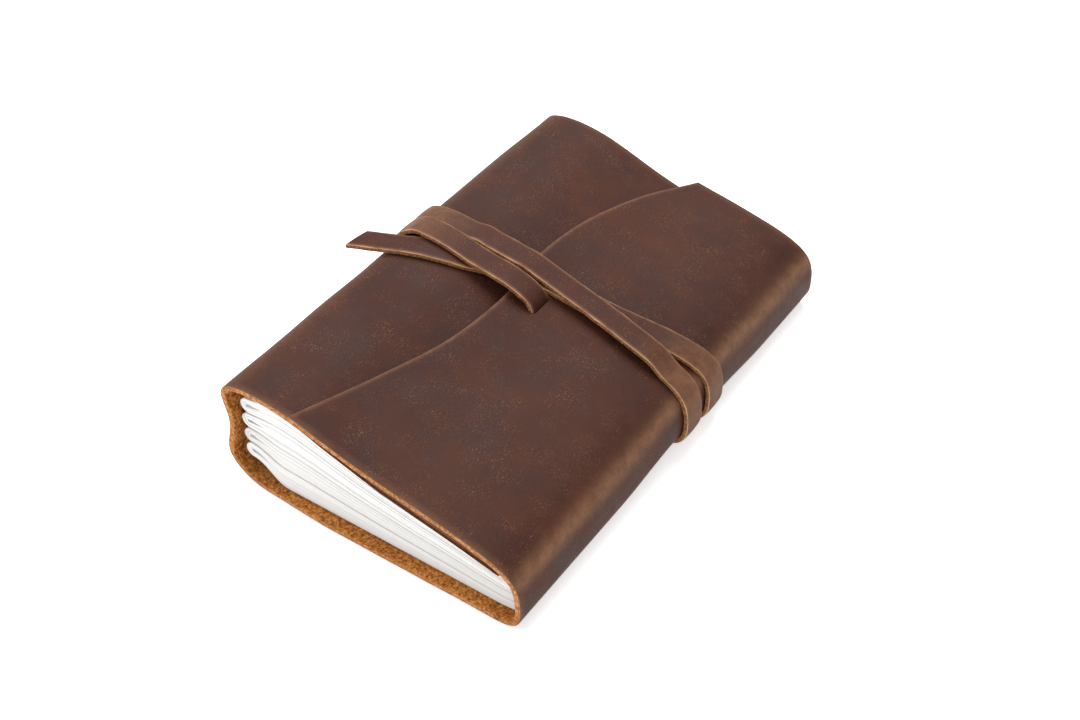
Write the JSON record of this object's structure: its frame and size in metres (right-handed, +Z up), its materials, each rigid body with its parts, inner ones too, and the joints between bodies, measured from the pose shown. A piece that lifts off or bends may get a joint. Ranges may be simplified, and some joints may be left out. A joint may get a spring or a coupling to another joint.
{
  "type": "leather notebook cover",
  "caption": "Wrap-flap leather notebook cover folded round sewn paper bundles, held shut by a long strap from a slit in the flap.",
  "frame": {"origin": "middle of the bounding box in X and Y, on its underside: the face the book lies on", "axes": "+Y along the spine, +X from the spine to the fore-edge, +Z up out of the front cover"},
  "size_m": [0.121, 0.175, 0.0434],
  "materials": {
    "hide": "oiled full-grain leather, dark brown, rubbed lighter at the folds",
    "strap_hide": "the same leather cut as a strap, with raw lighter edges",
    "paper": null,
    "linen": "waxed natural linen thread"
  },
  "bodies": {
    "back": {"back_cover": "hide"},
    "spine": {"spine_cover": "hide", "thread_1": "linen", "thread_2": "linen", "thread_3": "linen", "thread_4": "linen"},
    "front": {"front_cover": "hide"},
    "fore_edge": {"fore_edge_cover": "hide"},
    "flap": {"flap": "hide", "strap_top_1": "strap_hide"},
    "bundle_1": {"signature_1": "paper"},
    "bundle_2": {"signature_2": "paper"},
    "bundle_3": {"signature_3": "paper"},
    "bundle_4": {"signature_4": "paper"},
    "strap_spine_1": {"strap_spine_1": "strap_hide"},
    "strap_under_1": {"strap_under_1": "strap_hide"},
    "strap_fore_edge_1": {"strap_fore_edge_1": "strap_hide"},
    "strap_top_2": {"strap_top_2": "strap_hide"},
    "strap_spine_2": {"strap_spine_2": "strap_hide"},
    "strap_under_2": {"strap_under_2": "strap_hide"},
    "strap_fore_edge_2": {"strap_fore_edge_2": "strap_hide"},
    "strap_tail": {"strap_tail": "strap_hide"}
  },
  "joints": [
    {"name": "spine_fold", "type": "hinge", "parent": "back", "child": "spine", "pos_m": [-0.0481, 0, 0.0052], "axis": [0, -1, 0], "range_deg": [0, 90]},
    {"name": "front_fold", "type": "hinge", "parent": "spine", "child": "front", "pos_m": [-0.048, 0, 0.0368], "axis": [0, -1, 0], "range_deg": [0, 94]},
    {"name": "fore_edge_fold", "type": "hinge", "parent": "back", "child": "fore_edge", "pos_m": [0.0565, 0, 0.0019], "axis": [0, 1, 0], "range_deg": [0, 84.5]},
    {"name": "flap_fold", "type": "hinge", "parent": "fore_edge", "child": "flap", "pos_m": [0.0565, 0, 0.0182], "axis": [0, 1, 0], "range_deg": [0, 74], "deforming": ["flap", "strap_top_1"]},
    {"name": "bundle_1_fold", "type": "hinge", "parent": "spine", "child": "bundle_1", "pos_m": [-0.0418, 0, 0.012], "axis": [0, 1, 0], "range_deg": [0, 56], "deforming": ["thread_1"]},
    {"name": "bundle_2_fold", "type": "hinge", "parent": "spine", "child": "bundle_2", "pos_m": [-0.0418, 0, 0.0181], "axis": [0, -1, 0], "range_deg": [0, 6], "deforming": ["thread_2"]},
    {"name": "bundle_3_fold", "type": "hinge", "parent": "spine", "child": "bundle_3", "pos_m": [-0.0418, 0, 0.0242], "axis": [0, -1, 0], "range_deg": [0, 12], "deforming": ["thread_3"]},
    {"name": "bundle_4_fold", "type": "hinge", "parent": "spine", "child": "bundle_4", "pos_m": [-0.0418, 0, 0.0303], "axis": [0, -1, 0], "range_deg": [0, 72], "deforming": ["thread_4"]},
    {"name": "strap_bend_spine_1", "type": "hinge", "parent": "flap", "child": "strap_spine_1", "pos_m": [-0.04982, 0, 0.03785], "axis": [0, 1, 0], "range_deg": [0, 131.5], "deforming": ["strap_spine_1"]},
    {"name": "strap_bend_under_1", "type": "hinge", "parent": "strap_spine_1", "child": "strap_under_1", "pos_m": [-0.04942, 0, 0.00357], "axis": [0, 1, 0], "range_deg": [0, 68.5], "deforming": ["strap_under_1"]},
    {"name": "strap_bend_fore_edge_1", "type": "hinge", "parent": "strap_under_1", "child": "strap_fore_edge_1", "pos_m": [0.05837, 0, 0.00094], "axis": [0, 1, 0], "range_deg": [0, 90], "deforming": ["strap_fore_edge_1"]},
    {"name": "strap_bend_top_2", "type": "hinge", "parent": "strap_fore_edge_1", "child": "strap_top_2", "pos_m": [0.05801, 0, 0.01966], "axis": [0, 1, 0], "range_deg": [0, 79], "deforming": ["strap_top_2"]},
    {"name": "strap_bend_spine_2", "type": "hinge", "parent": "strap_top_2", "child": "strap_spine_2", "pos_m": [-0.04982, 0, 0.03785], "axis": [0, 1, 0], "range_deg": [0, 36], "deforming": ["strap_spine_2"]},
    {"name": "strap_bend_under_2", "type": "hinge", "parent": "strap_spine_2", "child": "strap_under_2", "pos_m": [-0.04942, 0, 0.00357], "axis": [0, 1, 0], "range_deg": [0, 36], "deforming": ["strap_under_2"]},
    {"name": "strap_bend_fore_edge_2", "type": "hinge", "parent": "strap_under_2", "child": "strap_fore_edge_2", "pos_m": [0.05837, 0, 0.00094], "axis": [0, 1, 0], "range_deg": [0, 36], "deforming": ["strap_fore_edge_2"]},
    {"name": "strap_bend_tail", "type": "hinge", "parent": "strap_fore_edge_2", "child": "strap_tail", "pos_m": [0.05801, 0, 0.01966], "axis": [0, 1, 0], "range_deg": [0, 34], "deforming": ["strap_tail"]}
  ],
  "couplings": [
    {"joint": "front_fold", "follows": "spine_fold", "ratio": 1.0444},
    {"joint": "fore_edge_fold", "follows": "spine_fold", "ratio": 0.93889},
    {"joint": "flap_fold", "follows": "spine_fold", "ratio": 0.82222},
    {"joint": "bundle_1_fold", "follows": "spine_fold", "ratio": 0.62222},
    {"joint": "bundle_2_fold", "follows": "spine_fold", "ratio": 0.066667},
    {"joint": "bundle_3_fold", "follows": "spine_fold", "ratio": 0.13333},
    {"joint": "bundle_4_fold", "follows": "spine_fold", "ratio": 0.8},
    {"joint": "strap_bend_spine_1", "follows": "spine_fold", "ratio": 1.4611},
    {"joint": "strap_bend_under_1", "follows": "spine_fold", "ratio": 0.76111},
    {"joint": "strap_bend_fore_edge_1", "follows": "spine_fold", "ratio": 1},
    {"joint": "strap_bend_top_2", "follows": "spine_fold", "ratio": 0.87778},
    {"joint": "strap_bend_spine_2", "follows": "spine_fold", "ratio": 0.4},
    {"joint": "strap_bend_under_2", "follows": "spine_fold", "ratio": 0.4},
    {"joint": "strap_bend_fore_edge_2", "follows": "spine_fold", "ratio": 0.4},
    {"joint": "strap_bend_tail", "follows": "spine_fold", "ratio": 0.37778}
  ]
}
